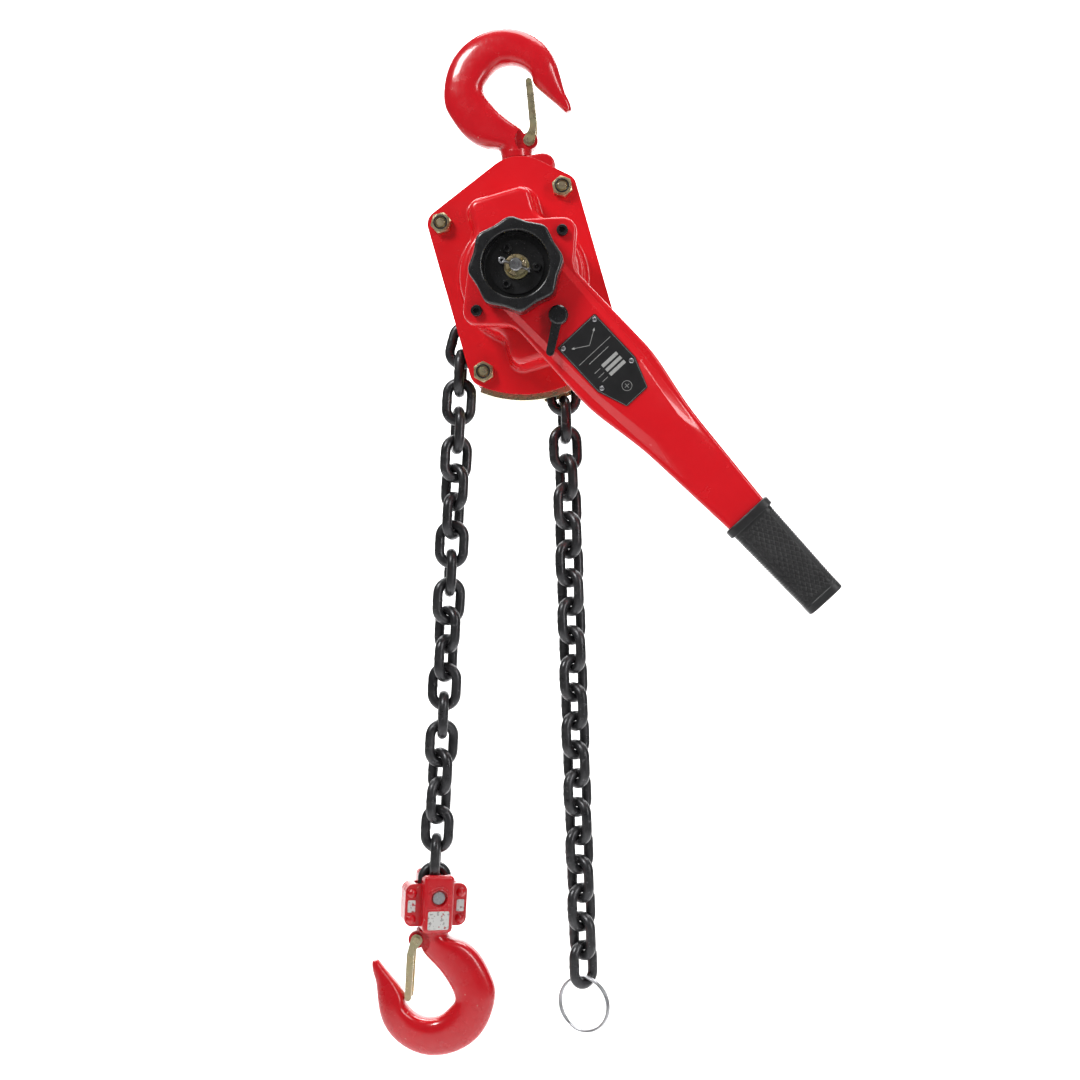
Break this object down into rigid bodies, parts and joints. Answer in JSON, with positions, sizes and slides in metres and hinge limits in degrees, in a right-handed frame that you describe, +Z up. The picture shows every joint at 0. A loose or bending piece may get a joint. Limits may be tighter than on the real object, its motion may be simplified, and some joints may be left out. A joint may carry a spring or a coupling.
{
  "type": "lever chain hoist",
  "caption": "Hand-lever chain hoist with round-link load chain, swivel safety hooks, gear case, brake cover, handwheel and rubber-gripped lever.",
  "frame": {"origin": "saddle of the top hook, where the bar it hangs from would bear", "axes": "+Z up, -Y out of the name plate side, +X to the right of someone facing the name plate"},
  "size_m": [0.4481, 0.184, 1.0076],
  "materials": {
    "hoist_paint": "glossy powder coat",
    "hook_paint": "glossy dip coat",
    "chain_steel": "dark oiled",
    "yellow_zinc": "yellow chromate",
    "plain_steel": "ground",
    "bright_steel": "bright",
    "black_paint": "glossy black",
    "black_screw": "black oxide",
    "grip_rubber": "textured",
    "plate_black": "printed",
    "bronze": "machined",
    "lining": "matte lining"
  },
  "bodies": {
    "housing": {"front_side_plate": "hoist_paint", "rear_side_plate": "hoist_paint", "brake_cover": "hoist_paint", "gear_case": "hoist_paint", "stay_bolts": "yellow_zinc", "stay_nuts": "yellow_zinc", "guide_rollers": "yellow_zinc", "chain_guide_plate": "yellow_zinc", "chain_stripper": "yellow_zinc", "bearing_rings": "plain_steel", "bearing_needles": "plain_steel", "gear_bushes": "bronze", "top_pin": "yellow_zinc", "pawl_studs": "yellow_zinc", "pawl_springs": "plain_steel", "chain_over_sheave": "chain_steel"},
    "yoke": {"top_yoke_halves": "hook_paint", "top_yoke_rivets": "hook_paint"},
    "top_hook_body": {"top_hook": "hook_paint", "top_latch_pin": "yellow_zinc"},
    "top_latch_body": {"top_latch": "yellow_zinc"},
    "sheave": {"load_sheave": "plain_steel", "load_gear": "plain_steel", "load_gear_clip": "plain_steel"},
    "upper_gear": {"upper_disc_gear": "plain_steel"},
    "lower_gear": {"lower_disc_gear": "plain_steel"},
    "drive": {"drive_shaft": "plain_steel", "friction_hub": "plain_steel", "friction_discs": "lining", "ratchet_wheel": "plain_steel", "change_gear": "plain_steel", "castle_nut": "yellow_zinc", "cotter_pin": "bright_steel", "free_wheel_spring": "plain_steel"},
    "handwheel_body": {"handwheel": "black_paint", "handwheel_disc": "black_paint", "handwheel_screws": "black_screw"},
    "pawl_upper": {"upper_pawl": "plain_steel"},
    "pawl_lower": {"lower_pawl": "plain_steel"},
    "lever": {"lever_front_shell": "hoist_paint", "lever_rear_shell": "hoist_paint", "lever_screws": "black_screw", "lever_grip": "grip_rubber", "name_plate": "plate_black", "name_plate_rivets": "plain_steel"},
    "selector": {"selector_knob": "black_paint", "shift_pawl": "plain_steel"},
    "load_upper": {"load_chain_upper": "chain_steel"},
    "load_lower": {"load_chain_lower": "chain_steel"},
    "hook_block": {"hook_block_halves": "hook_paint", "hook_block_rivets": "hook_paint", "chain_pin": "plain_steel"},
    "load_hook_body": {"load_hook": "hook_paint", "load_latch_pin": "yellow_zinc"},
    "load_latch_body": {"load_latch": "yellow_zinc"},
    "tail_upper": {"tail_chain_upper": "chain_steel"},
    "tail_lower": {"tail_chain_lower": "chain_steel"},
    "ring": {"tail_ring": "bright_steel"}
  },
  "joints": [
    {"name": "yoke_tilt", "type": "hinge", "parent": "housing", "child": "yoke", "pos_m": [0.01175, 0, -0.13557], "axis": [0, 1, 0], "range_deg": [-8, 8]},
    {"name": "top_hook_swivel", "type": "hinge", "parent": "yoke", "child": "top_hook_body", "pos_m": [0, 0, -0.025], "axis": [-0.1056, 0, 0.9944], "continuous": true},
    {"name": "top_latch_open", "type": "hinge", "parent": "top_hook_body", "child": "top_latch_body", "pos_m": [0.01932, 0, -0.07534], "axis": [0, 1, 0], "range_deg": [-36, 0], "stiffness_Nm_per_rad": 0.08, "springref_deg": 28.65},
    {"name": "sheave_turn", "type": "hinge", "parent": "housing", "child": "sheave", "pos_m": [0.0152, 0, -0.2151], "axis": [0, 1, 0], "range_deg": [0, 90], "deforming": ["chain_over_sheave"]},
    {"name": "upper_gear_turn", "type": "hinge", "parent": "housing", "child": "upper_gear", "pos_m": [0.00307, 0, -0.1728], "axis": [0, 1, 0], "range_deg": [-240.01, 0]},
    {"name": "lower_gear_turn", "type": "hinge", "parent": "housing", "child": "lower_gear", "pos_m": [0.02733, 0, -0.2574], "axis": [0, 1, 0], "range_deg": [-240.01, 0]},
    {"name": "drive_turn", "type": "hinge", "parent": "housing", "child": "drive", "pos_m": [0.0152, 0, -0.2151], "axis": [0, 1, 0], "range_deg": [0, 816.01]},
    {"name": "handwheel_pull", "type": "slide", "parent": "drive", "child": "handwheel_body", "axis": [0, -1, 0], "range_m": [0, 0.005], "stiffness_N_per_m": 900, "springref_m": -0.003},
    {"name": "upper_pawl_lift", "type": "hinge", "parent": "housing", "child": "pawl_upper", "pos_m": [0.01844, 0, -0.15383], "axis": [0, 1, 0], "range_deg": [0, 12], "stiffness_Nm_per_rad": 0.2, "springref_deg": -17.19},
    {"name": "lower_pawl_lift", "type": "hinge", "parent": "housing", "child": "pawl_lower", "pos_m": [0.01196, 0, -0.27637], "axis": [0, 1, 0], "range_deg": [0, 12], "stiffness_Nm_per_rad": 0.2, "springref_deg": -17.19},
    {"name": "lever_turn", "type": "hinge", "parent": "housing", "child": "lever", "pos_m": [0.0152, 0, -0.2151], "axis": [0, 1, 0], "continuous": true},
    {"name": "selector_turn", "type": "hinge", "parent": "lever", "child": "selector", "pos_m": [0.05314, 0, -0.25901], "axis": [0, 1, 0], "range_deg": [-110, 0]},
    {"name": "load_chain_travel", "type": "slide", "parent": "housing", "child": "load_upper", "axis": [0.0516, 0, 0.9987], "range_m": [0, 0.05601]},
    {"name": "load_sway", "type": "hinge", "parent": "load_upper", "child": "load_lower", "pos_m": [-0.06521, 0, -0.61775], "axis": [-0.1559, 0.9877, 0.0081], "range_deg": [0, 4]},
    {"name": "block_swing", "type": "hinge", "parent": "load_lower", "child": "hook_block", "pos_m": [-0.0749, 0, -0.81295], "axis": [-0.3741, 0.9272, 0.0193], "range_deg": [-6, 0]},
    {"name": "load_hook_swivel", "type": "hinge", "parent": "hook_block", "child": "load_hook_body", "pos_m": [-0.0799, 0, -0.90962], "axis": [0.0516, 0, 0.9987], "continuous": true},
    {"name": "load_latch_open", "type": "hinge", "parent": "load_hook_body", "child": "load_latch_body", "pos_m": [-0.09109, 0, -0.85687], "axis": [0, 1, 0], "range_deg": [-36, 0], "stiffness_Nm_per_rad": 0.08, "springref_deg": 28.65},
    {"name": "tail_chain_travel", "type": "slide", "parent": "housing", "child": "tail_upper", "axis": [0.0347, 0, -0.9994], "range_m": [0, 0.05601]},
    {"name": "tail_sway", "type": "hinge", "parent": "tail_upper", "child": "tail_lower", "pos_m": [0.05278, 0, -0.32876], "axis": [-0.195, 0.9808, -0.0068], "range_deg": [-8, 0]},
    {"name": "ring_swing", "type": "hinge", "parent": "tail_lower", "child": "ring", "pos_m": [0.07258, 0, -0.89871], "axis": [0.4226, 0.9063, 0], "range_deg": [-10, 5]}
  ],
  "couplings": [
    {"joint": "upper_gear_turn", "follows": "sheave_turn", "ratio": -2.6667},
    {"joint": "lower_gear_turn", "follows": "sheave_turn", "ratio": -2.6667},
    {"joint": "drive_turn", "follows": "sheave_turn", "ratio": 9.0667},
    {"joint": "load_chain_travel", "follows": "sheave_turn", "m_per_rad": 0.035651},
    {"joint": "tail_chain_travel", "follows": "sheave_turn", "m_per_rad": 0.035651}
  ]
}
